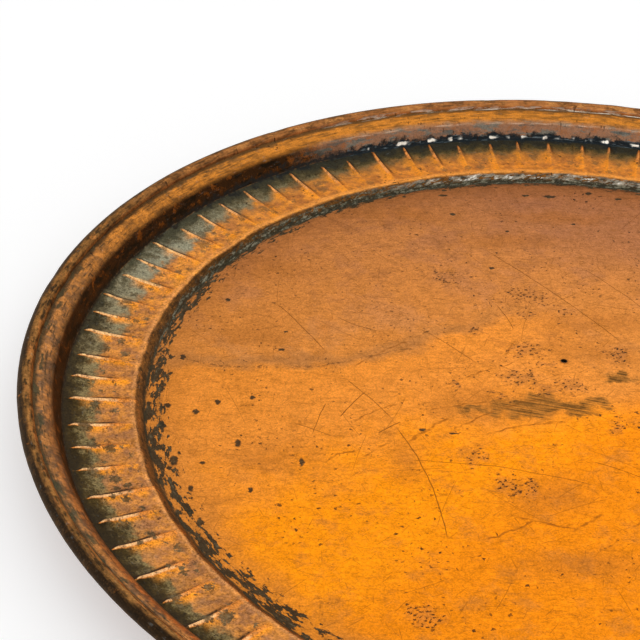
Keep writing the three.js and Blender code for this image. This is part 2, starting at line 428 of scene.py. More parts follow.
def cut_pin_hole(places, quads, flags):
    """Both faces opened at the hole, and three bands of cells: from the upper gap in to the hole,
    down its wall, and out to the lower gap."""
    bands, rims, loops = [], [], []
    keep = np.ones(len(quads), bool)
    for side in (0.0, 1.0):
        own = np.flatnonzero(np.all(flags["under"][quads] == side, axis=1))
        taken, loop, angle = clear_round_hole(quads[own], places)
        keep[own[taken]] = False
        rim_x = PIN_HOLE["x"] + PIN_HOLE["radius"] * np.cos(angle)
        rim_y = PIN_HOLE["y"] + PIN_HOLE["radius"] * np.sin(angle)
        rim = np.stack([rim_x, rim_y, places[loop, 2]], axis=1)
        rims.append(len(places) + np.arange(len(loop)))
        loops.append(loop)
        places = np.concatenate([places, rim])
        flags = {name: np.concatenate([values, values[loop]]) for name, values in flags.items()}
    for first, second in ((loops[0], rims[0]), (rims[0], rims[1]), (rims[1], loops[1])):
        bands.append(np.stack([first, np.roll(first, -1), np.roll(second, -1), second], axis=1))
    return places, np.concatenate([quads[keep]] + bands), flags


places, quads, flags = cut_pin_hole(places, quads, flags)
print("with the hole:", 2 * len(quads) + len(triangles), "triangles")


# %% Make the sheet
def new_mesh(name, places, faces, flags):
    mesh = bpy.data.meshes.new(name)
    mesh.from_pydata((places * MM).tolist(), [], faces)
    for flag, values in flags.items():
        mesh.attributes.new(flag, "FLOAT", "POINT").data.foreach_set("value", values)
    mesh.polygons.foreach_set("use_smooth", np.ones(len(mesh.polygons), bool))
    mesh.update()
    piece = bpy.data.objects.new(name, mesh)
    bpy.context.scene.collection.objects.link(piece)
    return piece


sheet = new_mesh("copper_sheet", places, quads.tolist() + triangles.tolist(), flags)
sheet.data.validate(verbose=True)

# %% [markdown]
# ## Tools for the finishes
#
# A finish here is a stack of layers, each a colour with a mask. Written node by node it would run to
# hundreds of lines. So what a node puts out is wrapped as a Value, which can be added and multiplied
# like a number, and each such step adds a node of its own. A second class lays the coats.


# %% Nodes and what feeds them
def linear(code):
    """A colour written as on screen, turned to the linear values that the shader wants."""
    screen = np.array([int(code[start : start + 2], 16) for start in (1, 3, 5)]) / 255
    low = screen / 12.92
    high = ((screen + 0.055) / 1.055) ** 2.4
    return (*np.where(screen <= 0.04045, low, high), 1.0)


def plug(socket, value):
    """Feeds a socket from a Value, or sets it to a plain number, place or colour."""
    if isinstance(value, Value):
        socket.id_data.links.new(value.socket, socket)
    elif value is not None:
        socket.default_value = value


def new_node(tree, kind, *values, named={}, **settings):
    """A node with its settings, and values for its sockets, either in turn or by name."""
    made = tree.nodes.new(kind)
    for name, value in settings.items():
        setattr(made, name, value)
    for socket, value in zip(made.inputs, values):
        plug(socket, value)
    for name, value in named.items():
        plug(made.inputs[name], value)
    return made


def put(kind, *values, named={}, output=0, **settings):
    """What a new node puts out. The node goes where the first Value that feeds it comes from."""
    fed = [value for value in (*values, *named.values()) if isinstance(value, Value)]
    made = new_node(fed[0].socket.id_data, kind, *values, named=named, **settings)
    return Value(made.outputs[output])


def math(operation, *values):
    return put("ShaderNodeMath", *values, operation=operation)


def combine(x, y, z=0.0):
    return put("ShaderNodeCombineXYZ", x, y, z)


# %% Values
def both_ways(operation):
    """The two methods behind an operator: for a Value on its left, and for one on its right."""
    return (
        lambda self, other: math(operation, self, other),
        lambda self, other: math(operation, other, self),
    )


def with_vectors(operation, output="Vector"):
    """A method that adds one step of vector arithmetic."""
    settings = {"operation": operation, "output": output}
    return lambda self, *others: put("ShaderNodeVectorMath", self, *others, **settings)


class Value:
    """The output of a node. Each sum and each call here adds a node and gives the output of that."""

    __add__, __radd__ = both_ways("ADD")
    __sub__, __rsub__ = both_ways("SUBTRACT")
    __mul__, __rmul__ = both_ways("MULTIPLY")
    __truediv__, __rtruediv__ = both_ways("DIVIDE")
    __or__, __ror__ = both_ways("MAXIMUM")  # the larger of two masks is their union
    plus, minus, by = with_vectors("ADD"), with_vectors("SUBTRACT"), with_vectors("MULTIPLY")
    dot, length = with_vectors("DOT_PRODUCT", "Value"), with_vectors("LENGTH", "Value")

    def __init__(self, socket):
        self.socket = socket

    def __abs__(self):
        return math("ABSOLUTE", self)

    def under(self, limit):
        return math("LESS_THAN", self, limit)

    def scaled(self, factor):
        return put("ShaderNodeVectorMath", self, None, None, factor, operation="SCALE")

    def split(self):
        parts = new_node(self.socket.id_data, "ShaderNodeSeparateXYZ", self).outputs
        return [Value(part) for part in parts]

    def between(self, low, high):
        """0 at low, 1 at high, with an S-shaped rise between."""
        return put("ShaderNodeMapRange", self, low, high, 0.0, 1.0, interpolation_type="SMOOTHSTEP")

    def bell(self, middle, width):
        """1 at middle, falling to 0 one width away on either side."""
        return abs(self - middle).between(width, 0.0)

    def noise(self, size, detail=4.0, roughness=0.6, distortion=0.0):
        named = {"Scale": 1.0 / size, "Detail": detail, "Roughness": roughness, "Distortion": distortion}
        return put("ShaderNodeTexNoise", self, named=named)

    def jitter(self, size, amount, detail=3.0):
        """A noise between minus and plus half the amount."""
        return (self.noise(size, detail) - 0.5) * amount

    def blend(self, under, over):
        """From one number to another, as this goes from 0 to 1."""
        return put("ShaderNodeMix", self, None, under, over, data_type="FLOAT")

    def toward(self, other, share):
        """This value moved by a fixed share of the way to another."""
        return put("ShaderNodeMix", share, None, self, other, data_type="FLOAT")

    def mix(self, *colours):
        """From one colour to another, as this goes from 0 to 1."""
        colours = [linear(colour) if isinstance(colour, str) else colour for colour in colours]
        return put("ShaderNodeMix", self, *[None] * 5, *colours, data_type="RGBA", output=2)

    def ramp(self, *codes):
        """Colours spread evenly from 0 to 1."""
        made = new_node(self.socket.id_data, "ShaderNodeValToRGB", self)
        stops = made.color_ramp.elements
        while len(stops) < len(codes):
            stops.new(0.5)
        for index, code in enumerate(codes):
            stops[index].position = index / (len(codes) - 1)
            stops[index].color = linear(code)
        return Value(made.outputs[0])

    def through(self, group, **values):
        """The mask that a shared effect gives at this place."""
        return put("ShaderNodeGroup", node_tree=group, named={"Vector": self} | values)


# %% Coats
class Coats:
    """Layers over a base: each has a mask, a colour and a dullness, which is 0 for bare metal and 1
    for dirt, tin oxide or scale."""

    def __init__(self, base, dullness=0.0):
        self.colour, self.dullness = base, dullness

    def lay(self, mask, tone, strength=1.0, dullness=None):
        """One more coat. Without a dullness of its own it leaves that of the coats below."""
        share = mask * strength if strength != 1.0 else mask
        self.colour = share.mix(self.colour, tone)
        if dullness is not None:
            self.dullness = share.blend(self.dullness, dullness)

# %% [markdown]
# ## Effects that several finishes share
#
# Old copper is never one colour. Blotches, specks and pits, and scratches show on the upper face, on
# the underside and on the wire, each at its own size. So each effect is a node group, made once,
# that puts out a mask between 0 and 1. Another turns the place of a point into coordinates that run
# round the tray, for the streaks that wiping leaves along the rim.


# %% Round the tray
def new_group(name, outputs, **inputs):
    """An empty node group, its inputs as Values and the sockets of its outputs. An input that is
    given no number is a vector."""
    group = bpy.data.node_groups.new(name, "ShaderNodeTree")
    for label, value in inputs.items():
        kind = "NodeSocketVector" if value is None else "NodeSocketFloat"
        socket = group.interface.new_socket(label, in_out="INPUT", socket_type=kind)
        if value is not None:
            socket.default_value = value
    for label, kind in outputs.items():
        group.interface.new_socket(label, in_out="OUTPUT", socket_type=f"NodeSocket{kind}")
    given = {socket.name: Value(socket) for socket in group.nodes.new("NodeGroupInput").outputs}
    return group, given, group.nodes.new("NodeGroupOutput").inputs


def object_place(tree):
    return Value(new_node(tree, "ShaderNodeTexCoord").outputs["Object"])


def make_round_group():
    """Millimetres from Object coordinates, and a vector in which a noise is drawn out along the rim
    by the stretch."""
    outputs = {"Place": "Vector", "Streak": "Vector"}
    group, given, out = new_group("round the tray", outputs, Along=0.0, Stretch=8.0)
    place = object_place(group).scaled(1 / MM)
    x, y, _ = place.split()
    radius = combine(x, y).length()
    shrink = TRAY_RADIUS / given["Stretch"] / (radius | 1.0)
    plug(out["Place"], place)
    plug(out["Streak"], combine(x * shrink, y * shrink, given["Along"]))
    return group


ROUND = make_round_group()


def round_the_tray(tree, along, stretch):
    named = {"Along": along, "Stretch": stretch}
    used = new_node(tree, "ShaderNodeGroup", node_tree=ROUND, named=named).outputs
    return Value(used["Place"]), Value(used["Streak"])


# %% Blotches
def make_blotch_group():
    """Two sizes of noise, cut to a mask between Low and High."""
    inputs = {"Vector": None, "Size": 20.0, "Low": 0.45, "High": 0.6}
    group, given, out = new_group("blotches", {"Mask": "Float"}, **inputs)
    near = given["Vector"].scaled(1.0 / given["Size"])
    soft = near.noise(1.0, detail=5.0, distortion=0.4)
    fine = near.noise(0.23, detail=3.0)
    plug(out["Mask"], soft.toward(fine, 0.3).between(given["Low"], given["High"]))
    return group


BLOTCHES = make_blotch_group()


# %% Specks
def random_cells(place, **named):
    """A grid with a random point in each cell: the distance to the nearest point, its place, and
    its random numbers as a colour."""
    named = {"Vector": place, "Scale": 1.0} | named
    tree = place.socket.id_data
    made = new_node(tree, "ShaderNodeTexVoronoi", voronoi_dimensions="2D", named=named)
    return {socket.name: Value(socket) for socket in made.outputs}


def make_speck_group():
    """Round specks: one to a cell, kept where the cell's own random number is under Share, and
    each of its own size. Their outline is broken by a little noise."""
    inputs = {"Vector": None, "Size": 4.0, "Spacing": 15.0, "Share": 0.3}
    group, given, out = new_group("specks", {"Mask": "Float"}, **inputs)
    scaled = given["Vector"].scaled(1.0 / given["Spacing"])
    cells = random_cells(scaled, Randomness=0.9)
    red, green, _ = cells["Color"].split()
    rough = scaled.noise(0.12, detail=2.0)
    away = cells["Distance"] * given["Spacing"] + given["Size"] * (rough - 0.5)
    own = given["Size"] * 0.5 * green.blend(0.35, 1.0)
    plug(out["Mask"], away.between(own, own * 0.7) * red.under(given["Share"]))
    return group


SPECKS = make_speck_group()


# %% Scratches
def make_scratch_group():
    """Scratches: one to a cell, through its middle, at the angle of the cell's random number and
    bowed by another. A point is on it where its distance across is under Width and along under
    Length."""
    inputs = {"Vector": None, "Spacing": 40.0, "Length": 30.0, "Width": 0.3, "Share": 0.6}
    group, given, out = new_group("scratches", {"Mask": "Float"}, **inputs)
    scaled = given["Vector"].scaled(1.0 / given["Spacing"])
    cells = random_cells(scaled)
    red, green, blue = cells["Color"].split()
    local = scaled.minus(cells["Position"]).scaled(given["Spacing"])
    named = {"Vector": local, "Angle": red * (2 * np.pi)}
    x, y, _ = put("ShaderNodeVectorRotate", named=named, rotation_type="Z_AXIS").split()
    half = given["Length"] * 0.5 * green.blend(0.4, 1.0)
    share = x / half
    bow = share * share * (half * blue.blend(-0.06, 0.06))
    line = abs(y - bow).between(given["Width"], given["Width"] * 0.2)
    ends = abs(share).between(1.0, 0.6)
    kept = math("FRACT", blue * 7.3).under(given["Share"])
    plug(out["Mask"], line * ends * kept)
    return group


SCRATCHES = make_scratch_group()


# %% Single marks
def make_mark_groups():
    """A spot is where the scaled distance from its centre is under 1. A stroke is where the distance
    from a slightly bowed line is under its width, between its two ends."""
    inputs = {"Vector": None, "Centre": None, "Scale": None, "Soft": 0.3}
    spot, given, out = new_group("spot", {"Mask": "Float"}, **inputs)
    away = given["Vector"].minus(given["Centre"]).by(given["Scale"])
    plug(out["Mask"], away.length().between(1.0, 1.0 - given["Soft"]))

    inputs = {"Vector": None, "Start": None, "Forward": None, "Sideways": None}
    inputs |= {"Length": 10.0, "Width": 0.5, "Bow": 0.0}
    stroke, given, out = new_group("stroke", {"Mask": "Float"}, **inputs)
    local = given["Vector"].minus(given["Start"])
    share = local.dot(given["Forward"]) / given["Length"]
    bow = share * (1.0 - share) * given["Bow"] * 4.0
    across = local.dot(given["Sideways"]) - bow
    line = abs(across).between(given["Width"], given["Width"] * 0.3)
    plug(out["Mask"], line * abs(share - 0.5).between(0.52, 0.42))
    return spot, stroke


SPOT, STROKE = make_mark_groups()
print("shared effects:", sorted(bpy.data.node_groups.keys()))


def spots(place, marks, soft=0.3):
    """The union of spots, each given as x, y, half width and half height. It is taken one spot at a
    time, because a shader can hold only so many values at once."""
    union = 0.0
    for x, y, wide, high in marks:
        scale = (1 / wide, 1 / high, 0.0)
        union = union | place.through(SPOT, Centre=(x, y, 0.0), Scale=scale, Soft=soft)
    return union


def strokes(place, marks):
    """The union of strokes, each given as two ends, a width and a bow."""
    union = 0.0
    for x0, y0, x1, y1, width, bow in marks:
        length = np.hypot(x1 - x0, y1 - y0)
        forward = ((x1 - x0) / length, (y1 - y0) / length, 0.0)
        line = {"Start": (x0, y0, 0.0), "Forward": forward, "Sideways": (-forward[1], forward[0], 0.0)}
        union = union | place.through(STROKE, Length=length, Width=width, Bow=bow, **line)
    return union

# %% [markdown]
# ## The finish of the upper face
#
# The finish is built as it came about. First the bare metal: polished orange where hands and cloths
# reach, duller and browner at the back, partly a painted reflection. Then the browning of step, wall,
# moulding and edge, with painted shade and light on the wall and the roll. Then the tin and its
# grey-green corrosion in the recesses, with painted highlights on the far wall and its edge. Last come
# the wear on the creases with painted highlights and shadows, and the pits, spots and scratches of use.
# All of it in one shader would be more than a shader can hold. So the floor has one finish and the border
# another, and they meet half way up the step.

# %% Where a point lies
FLAGS = ("along", "from_crease", "flute_side", "crease_rise", "crease_left", "own_shade")


def flag(tree, name):
    """A number that the mesh keeps at each vertex."""
    return Value(new_node(tree, "ShaderNodeAttribute", attribute_name=name).outputs["Fac"])


def swayed(flat, size, amount):
    """The place moved aside by up to half the amount, so that marks drawn on it are not too true."""
    named = {"Scale": 1 / size, "Detail": 4.0}
    sway = put("ShaderNodeTexNoise", flat, named=named, output="Color", noise_dimensions="2D")
    x, y, _ = flat.plus(sway.minus((0.5, 0.5, 0.5)).scaled(amount)).split()
    return combine(x, y)


def survey(tree):
    """The places, distances and noises that the layers share. `streak` is drawn out nine times along
    the rim and `rag` three times. `ring` is the way round only. `far` is 0 at the left and front of
    the tray and 1 at its far side."""
    here = SimpleNamespace(**{name: flag(tree, name) for name in FLAGS})
    here.place, here.streak = round_the_tray(tree, here.along, 9.0)
    _, here.rag = round_the_tray(tree, here.along, 3.2)
    _, here.ring = round_the_tray(tree, 0.0, 1.0)
    here.x, here.y, _ = here.place.split()
    here.flat = combine(here.x, here.y)
    here.ragged = swayed(here.flat, 2.6, 3.4)
    here.far = here.y.between(-40.0, 345.0)
    here.mottle = here.place.noise(8.0, detail=8.0, roughness=0.72)
    here.cloud = here.place.noise(14.0, detail=6.0, roughness=0.7)
    here.lichen = here.place.noise(3.4, detail=8.0, roughness=0.8)
    here.grain = here.place.noise(1.0, detail=3.0)
    here.wiping = here.streak.noise(1.6, detail=5.0, roughness=0.7)
    here.band = here.rag.noise(4.0, detail=8.0, roughness=0.74)
    return here

# %% [markdown]
# ### The bare floor
#
# Copper tones unevenly where it is touched: orange and bright at the front, where hands and cloths reach,
# and pinkish brown at the back. Part of that is painted: the bright front is also a painted reflection of
# the lamp, and the duller back a painted reflection of darker surroundings. One gradient would look
# airbrushed. So clouds, a shore line and fine rubbing each get a coat of their own, with colours that
# change towards the back.

# %% Bare metal of the floor
def floor_metal(here):
    """The floor's colours: duller towards the back and bright in one wide patch at the front and on the
    right, which is partly toning and polish and partly a painted reflection of the lamp; warmer in front
    of the edge where a puddle once dried, clouded and finely rubbed all over, and browner beside the
    step."""
    x, y, flat = here.x, here.y, here.flat
    # Duller and browner towards the back: toning, and partly a painted reflection of darker surroundings.
    back = y.between(-20.0, 260.0)
    coats = Coats(back.ramp("#DC8B3D", "#CB8140", "#BC7A47"))
    cloud = flat.noise(52.0, detail=8.0, roughness=0.66)
    coats.lay(cloud.between(0.47, 0.62), back.ramp("#D08A4A", "#BE7C4C", "#A26A48"), 0.75)
    far_side = y.between(110.0, 205.0) * (x + y).between(100.0, 250.0)
    coats.lay(far_side, "#9C664A", 0.7)
    climb = x.between(-170.0, 0.0) * 70.0
    shore = climb + 31.0 + flat.jitter(40.0, 44.0, detail=6.0)
    ahead = shore - y
    warm = ahead.between(-7.0, 9.0) * x.between(60.0, -80.0)
    coats.lay(warm, "#E88E34", 0.8)
    # A wide bright patch at the front, and the right side brighter too: polish, and partly a painted
    # reflection of the lamp.
    away = flat.minus((10.0, -175.0, 0.0)).by((1 / 285, 1 / 186, 0))
    polish_and_reflection = 1.0 - away.length() + flat.jitter(50.0, 0.7, detail=7.0)
    coats.lay(polish_and_reflection.between(-0.05, 0.3), "#FB940C", 0.92)
    coats.lay((x - y).between(0.0, 60.0), "#E88414", 0.8)
    dull = flat.plus((300.0, 90.0, 0.0)).noise(24.0, detail=8.0, roughness=0.74)
    coats.lay(dull.between(0.49, 0.68), back.ramp("#C97A2C", "#B4723E", "#9A6545"), 0.75)
    coats.lay(ahead.bell(-6.0, 12.0), "#A9703F", x.between(20.0, -120.0) * 0.6)
    haze = spots(swayed(flat, 30.0, 26.0), HAZE, soft=1.0)
    coats.lay(haze, "#A4622B", 0.45)
    rubbed = here.ragged.by((0.16, 1.0, 1.0))
    here.rubbed = rubbed.noise(2.2, detail=6.0, roughness=0.75)
    coats.lay(here.rubbed.between(0.5, 0.7), "#9A5F2C", back.blend(0.3, 0.6))
    coats.lay(here.wiping.between(0.52, 0.7), "#84522F", back.blend(0.1, 0.5))
    near_step = (here.along + here.rag.jitter(6.0, 24.0)).between(-34.0, -4.0)
    coats.lay(near_step, here.far.ramp("#B97434", "#A8693A", "#8A5530"), 0.6)
    return coats

# %% [markdown]
# ### The browned border
#
# Nobody polishes the hollows of a border, so heat and oxide have browned it. Its parts follow each
# other along the section, each with its own colours. Separate materials would meet in hard lines, so
# each part is a coat that starts at a ragged distance along the section.

# %% Browned metal outside the floor
def brown_the_border(here):
    """Border, wall, moulding, groove and rolled edge, each from its own start along the section.
    Most colours are a ramp from the left and front of the tray to its far side. The wall is dark nearly
    all round, and turns pinkish and grey only at the very back: browning, and partly painted shade and
    light, since the far wall faces the lamp. The outer side of the roll is painted shade."""
    along, far, band, mottle, lichen = here.along, here.far, here.band, here.mottle, here.lichen
    border = mottle.toward(here.cloud, 0.35).between(0.4, 0.58)
    light, dark = far.ramp("#D68C42", "#F6A244", "#F09A3E"), far.ramp("#A06C46", "#BE7C46", "#B8743A")
    border = border.mix(light, dark)
    coats = Coats(lichen.between(0.56, 0.7).mix(border, "#7C5230"))
    # This mask turns the wall from dark to pinkish grey at the very back: browning, and partly painted
    # shade where the wall faces away from the lamp and painted light where it faces it.
    high = (here.y + here.rag.jitter(9.0, 60.0, detail=5.0)).between(270.0, 300.0)
    wall = high.ramp("#38220D", "#9E765A")
    raised = along.between(FOOT_MARK + 2.0, FOOT_MARK + 8.0)
    patches = mottle.between(0.52, 0.6) * raised
    wall = patches.mix(wall, high.ramp("#774312", "#A46E48"))
    patches = here.rag.noise(4.6, detail=4.0, roughness=0.6)
    wall = patches.between(0.5, 0.6).mix(wall, high.ramp("#1C1409", "#7E7A6E"))
    coats.lay(along.between(FOOT_MARK - 0.5, FOOT_MARK + 1.2), wall, dullness=0.4)
    swell = (far * 0.6).blend(mottle, here.wiping).between(0.43, 0.6)
    light, dark = far.ramp("#BC7E46", "#CA8034", "#D88832"), far.ramp("#74563F", "#8A5A2C", "#A86C2C")
    swell = swell.mix(light, dark)
    swell = lichen.between(0.58, 0.72).mix(swell, far.ramp("#54402C", "#5A3A18", "#6A4A22"))
    rounded = along + here.rag.jitter(4.0, 4.4, detail=6.0)
    coats.lay(rounded.between(BROW_MARK - 1.6, BROW_MARK + 4.6), swell, dullness=0.1)
    groove = abs(rounded - (GROOVE_MARK - 0.3))
    coats.lay(groove.between(3.6, 1.0), far.ramp("#463820", "#342310", "#6A4C2A"), 0.9, dullness=0.6)
    lines = here.wiping.between(0.53, 0.62) * rounded.between(BROW_MARK - 1.0, BROW_MARK + 3.0)
    coats.lay(lines, far.ramp("#3E3020", "#4A3018", "#7A5226"), far.blend(0.8, 0.5), dullness=0.4)
    rust = here.rag.noise(6.0, detail=5.0).between(0.54, 0.6) * groove.between(7.0, 4.0)
    coats.lay(rust, far.ramp("#45432C", "#4A3A20", "#6A5030"), far.blend(0.85, 0.5), dullness=0.8)
    bead = mottle.toward(here.wiping, 0.5).between(0.44, 0.58)
    light, dark = far.ramp("#A06E38", "#8C6030", "#B4743E"), far.ramp("#2E2214", "#3E2C1A", "#724A28")
    bead = bead.mix(light, dark)
    coats.lay(rounded.between(GROOVE_MARK + 0.2, GROOVE_MARK + 1.6), bead, dullness=0.3)
    rubbed = band.between(0.52, 0.6) * rounded.bell(GROOVE_MARK + 5.5, 4.5)
    coats.lay(rubbed, far.ramp("#A86C3A", "#B27238", "#C98A4C"), 0.85, dullness=0.0)
    # The outer side of the roll, which faces away from the light, is painted near black: painted shade.
    outside = (rounded + here.streak.jitter(2.0, 3.0)).between(GROOVE_MARK + 6.0, GROOVE_MARK + 9.0)
    black = mottle.between(0.5, 0.64).mix("#120C06", "#46301A")
    coats.lay(outside, black, 0.95, dullness=0.6)
    return coats

# %% [markdown]
# ### The step
#
# Cloths pass over the step, so dirt and rags of the old tinning stay on its slope and at its foot.
# Tin comes off in flakes with crisp edges. So its masks are noise that is cut off sharply, where
# that of a stain is cut softly.

# %% Step and old tin
def cover_step(coats, here):
    """The step is brown and darker at its foot. Rags of old tin cling to it and to the edge of the floor:
    olive at the left, and grey with bright flakes at the back, where they lean along the rim. The grey is
    laid only where the step faces the lamp, so it is partly painted light, and the bright flakes are
    painted highlights.
    All of this is laid in both upper finishes, since they meet half way up the step."""
    along, far, lichen, y = here.along, here.far, here.lichen, here.y
    edge = along + here.rag.jitter(2.6, 3.4, detail=5.0)
    step = edge.between(CREST_MARK + 1.0, CREST_MARK - 1.2) * edge.between(-1.2, 0.8)
    lower = along + here.rag.jitter(5.0, 9.0, detail=5.0)
    tone = lower.between(CREST_MARK, 1.0)
    light, dark = far.ramp("#7C5226", "#43290D", "#8A551F"), far.ramp("#6A4520", "#32260F", "#4A3A22")
    tone = tone.mix(light, dark)
    coats.lay(step, lichen.between(0.54, 0.64).mix(tone, "#97612C"), 0.95, dullness=0.35)
    worn = step * here.mottle.between(0.5, 0.62) * lower.between(2.0, CREST_MARK)
    coats.lay(worn, far.ramp("#AE6C30", "#6A4318", "#A8682C"), 0.8, dullness=0.1)
    cracks = step * here.band.between(0.5, 0.58) * far.blend(0.9, 0.6)
    coats.lay(cracks, "#2C1D0C", 0.85, dullness=0.7)
    coats.lay(step * here.wiping.between(0.54, 0.6), "#3A2612", 0.6, dullness=0.6)

    drawn = here.wiping
    ragged = along + here.rag.jitter(3.6, far.blend(46.0, 26.0), detail=6.0)
    ring = ragged.between(far.blend(-10.5, -2.0), far.blend(-9.5, -1.0))
    ring = ring * along.between(far.blend(2.0, 4.5), 0.6)
    rags = here.rag.noise(5.0, detail=5.0).toward(drawn, 0.35)
    ring = ring * rags.between(0.465, 0.5)
    tone = drawn.toward(lichen, 0.5).between(0.4, 0.72).ramp("#262215", "#403A28", "#7C745C")
    coats.lay(ring, tone, 0.95, dullness=0.9)
    foot = (along + here.rag.jitter(2.4, 9.0, detail=5.0)).bell(1.0, far.blend(2.4, 3.6))
    coats.lay(foot, far.ramp("#2E2716", "#33301F", "#34342C"), far.blend(0.6, 0.95), dullness=0.8)
    aside = along * 0.0018
    leaning = here.rag.plus(combine(y * aside * -1.0, here.x * aside))
    rags = leaning.noise(2.0, detail=5.0, roughness=0.7)
    olive = lower.between(far.blend(3.0, 10.0), far.blend(1.0, 7.0))
    olive = step * olive * y.between(0.0, 120.0) * rags.between(0.46, 0.51)
    tone = drawn.toward(lichen, 0.5).between(0.42, 0.6).ramp("#2E2C22", "#5C5A48", "#98947E")
    coats.lay(olive, tone, 0.92, dullness=0.8)
    # Grey tin on the step only at the back, where the step faces the lamp: tin, and partly painted light.
    grey = step * rags.between(0.44, 0.49) * y.between(240.0, 272.0)
    grey = grey * along.between(3.0, 4.4) * lower.between(CREST_MARK + 0.5, CREST_MARK - 2.0)
    flakes = leaning.noise(2.2, detail=4.0, roughness=0.6)
    tone = flakes.between(0.36, 0.62).ramp("#3A3830", "#8A8272", "#A89C88")
    coats.lay(grey, tone, 0.95, dullness=0.5)
    # Bright flakes among the grey: painted highlights.
    bright = grey * flakes.between(0.54, 0.59) * here.cloud.between(0.46, 0.56)
    bright = bright * y.between(262.0, 276.0)
    coats.lay(bright, "#E8E4D8", 0.95, dullness=0.2)

# %% [markdown]
# ### Corrosion
#
# Damp stands longest in the outer half of the flutes, and there tin and copper have turned olive and
# grey-green. The stain, the crust and the black by the wall all go by one ragged distance from it,
# so that they follow each other like tide marks.

# %% Corrosion and old tin
def corrode(coats, here):
    """The outer half of each flute is olive and grey-green, and nearly black at the wall, each flute to
    its own depth. Dirt fills the foot of the wall, with a cold dark band at the back whose lighter
    streaks are painted highlights. The mask of the crust is given back, since it also stands up a little."""
    along, far, lichen, y = here.along, here.far, here.lichen, here.y
    middle = y.bell(130.0, 190.0)
    inside = along.between(FOOT_MARK + 1.2, FOOT_MARK - 0.5)
    reach = FOOT_MARK - along + here.place.jitter(9.0, 20.0, detail=7.0) - here.own_shade * 7.0
    stain = reach.between(27.0, far.blend(12.0, 6.0)) * inside
    coats.lay(stain, far.ramp("#A07A4C", "#9C7850", "#8A6436"), far.blend(0.55, 0.8), dullness=0.3)
    patina = reach - (middle.blend(15.0, 22.0) + far * -3.0)
    patina = patina.between(2.5, far.blend(-2.0, -8.0)) * inside
    spread = lichen.toward(here.mottle, 0.45) + reach * 0.02
    khaki = spread.between(middle.blend(0.62, 0.5), middle.blend(0.84, 0.76))
    coats.lay(patina, far.ramp("#443816", "#68664E", "#4A4222"), 0.94, dullness=1.0)
    coats.lay(patina * khaki, far.ramp("#A08C5C", "#B2AE92", "#867648"), 0.88, dullness=1.0)
    near_wall = reach + here.rag.jitter(2.4, 10.0, detail=5.0)
    black = near_wall.between(middle.blend(8.0, 3.0), 0.0) * inside
    coats.lay(black, far.ramp("#2C220E", "#504F3A", "#2A2C26"), 0.9, dullness=1.0)
    hollows = here.place.noise(2.2, detail=5.0, roughness=0.7)
    blotched = patina * hollows.between(0.54, 0.64) * middle.blend(1.0, 0.5)
    coats.lay(blotched, "#282010", 0.8, dullness=1.0)
    climb = far.blend(5.0, 26.0)
    gutter = along + here.place.jitter(8.0, climb, detail=7.0)
    gutter = gutter.bell(far.blend(FOOT_MARK + 0.2, FOOT_MARK + 1.6), far.blend(2.0, 5.2))
    gutter = gutter * hollows.between(far.blend(0.3, 0.2), far.blend(0.52, 0.34))
    coats.lay(gutter, far.ramp("#1E150A", "#1E150A", "#1D2629"), 0.95, dullness=0.8)
    # A cold dark band at the foot of the wall at the back: dirt, with lighter blue-grey streaks that are
    # painted highlights.
    rough = along + here.place.jitter(7.0, 16.0, detail=6.0)
    cold = rough.between(FOOT_MARK + 4.6, FOOT_MARK + 3.4) * y.between(282.0, 297.0)
    cold = cold * along.between(FOOT_MARK - 1.6, FOOT_MARK - 0.2)
    coats.lay(cold, here.wiping.between(0.55, 0.64).mix("#13232B", "#66767C"), 0.95, dullness=0.8)
    return patina | black | gutter

# %% [markdown]
# ### Painted highlights at the back
#
# On the far side the light falls straight on what is left of the tin, so its glints are painted
# highlights. They are few, each at the end of a crease. Laid one by one they would look placed, so their
# mask is the nearness of a crease, times that of the foot of the wall, times a noise that changes only
# round the tray.

# %% Painted highlights on the tin at the foot of the far wall, and on its brow and edge
def paint_far_wall_highlights(coats, here):
    """Painted highlights: glints on the tin at the outer ends of some creases on the far side, with a
    grey halo, painted grey reflections on the wall above them, and thin painted highlight lines on its
    brow and beside the groove."""
    along, y, wiping = here.along, here.y, here.wiping
    # Grey patches on the upper far wall, which faces the lamp: painted reflection.
    upper = along.between(FOOT_MARK + 4.0, FOOT_MARK + 8.0)
    upper = upper * along.between(BROW_MARK + 1.0, BROW_MARK - 2.0) * y.between(270.0, 300.0)
    cold = here.rag.noise(5.0, detail=6.0, roughness=0.7).between(0.54, 0.6)
    coats.lay(upper * cold, "#5E6460", 0.8, dullness=0.6)
    # Glints at the foot of the wall, with a grey halo: painted highlights on tin.
    lit = here.ring.noise(13.0, detail=2.0)
    low = (along + here.place.jitter(5.0, 3.0)).bell(FOOT_MARK + 2.2, 2.4)
    glint = low * here.from_crease.bell(1.0, 11.0) * lit.between(0.47, 0.55)
    glint = glint * y.between(292.0, 304.0)
    glint = glint + here.rag.jitter(1.6, 1.1)
    coats.lay(glint.between(0.1, 0.5), "#8A9494", 0.6, dullness=0.4)
    coats.lay(glint.between(0.3, 0.75), "#F4EEE0", 0.95, dullness=0.0)
    # A thin line along the brow: painted highlight on the edge.
    line = along.bell(BROW_MARK - 0.2, 1.2) * wiping.between(0.46, 0.6) * y.between(285.0, 306.0)
    coats.lay(line, "#CFA98C", 0.75, dullness=0.0)
    # A line beside the groove, on the inner side of the roll: painted highlight.
    rim = along.bell(GROOVE_MARK + 0.5, 2.6) * wiping.between(0.49, 0.56) * y.between(290.0, 325.0)
    coats.lay(rim, "#ECE2CE", 0.9, dullness=0.1)
